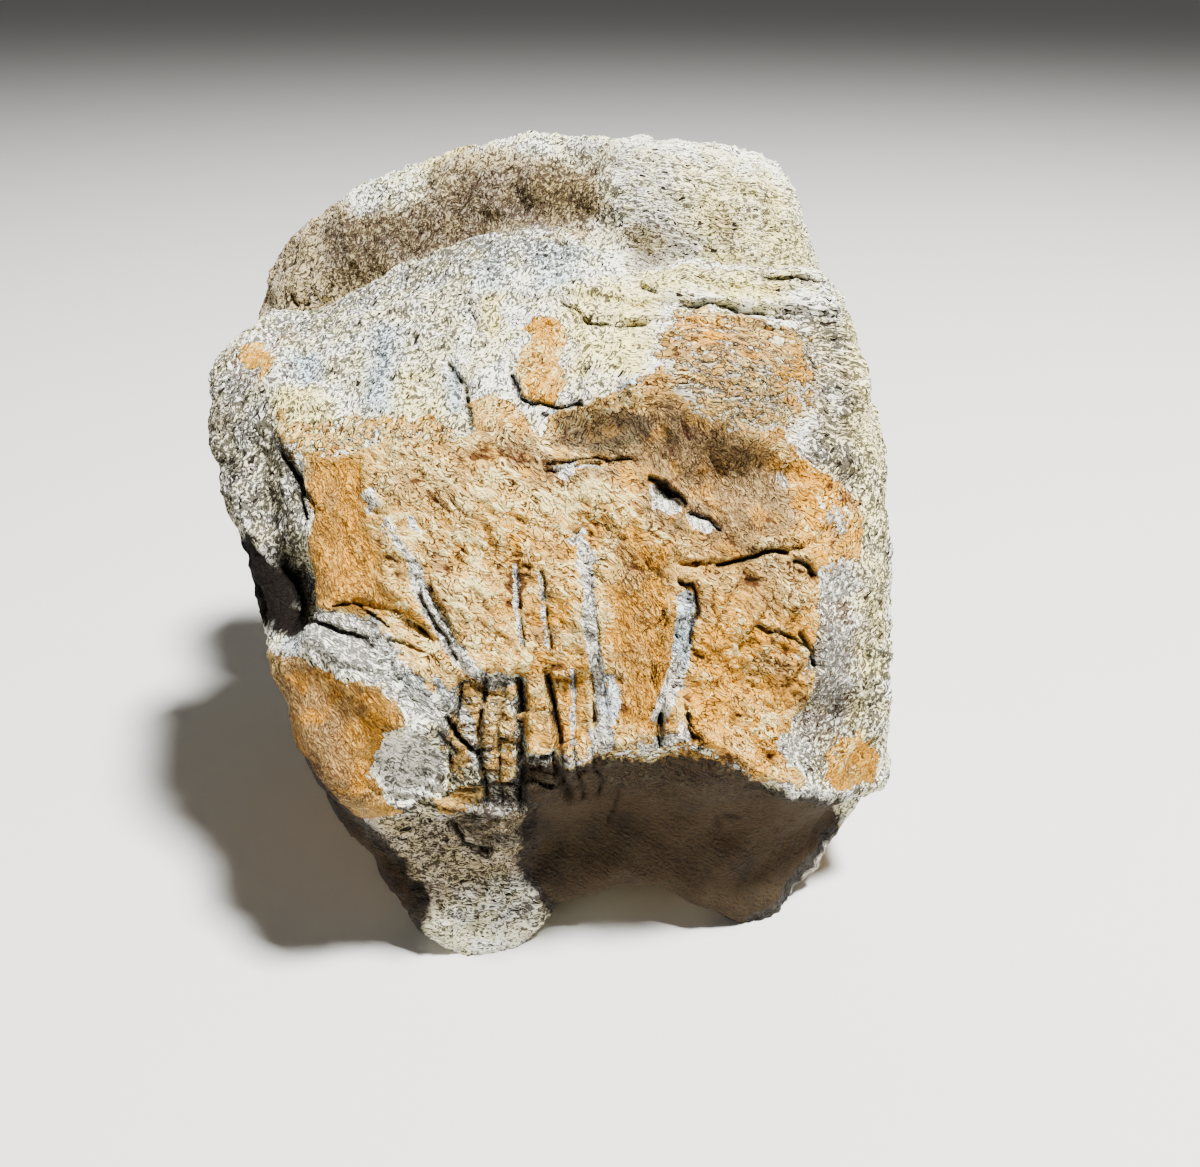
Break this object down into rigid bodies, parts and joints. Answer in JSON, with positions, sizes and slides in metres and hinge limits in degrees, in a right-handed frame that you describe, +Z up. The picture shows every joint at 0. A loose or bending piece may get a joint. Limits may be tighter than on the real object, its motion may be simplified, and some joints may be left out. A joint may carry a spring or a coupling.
{
  "type": "fossil vertebra",
  "caption": "Weathered fossil hadrosaur vertebra centrum, lying on the broken stumps of its neural arch, with a cracked brown face, pale porous edges and a raised rear rim.",
  "frame": {"origin": "under the middle of the bone's box, on the surface it rests on", "axes": "+Z up; +X to the right across the cracked front face; +Y back along the centrum, towards the raised rear rim"},
  "size_m": [0.1072, 0.0954, 0.1063],
  "materials": {
    "bone": "weathered fossil bone, dry and matt, rough and porous"
  },
  "bodies": {
    "root": {"vertebra": "bone"}
  },
  "joints": []
}
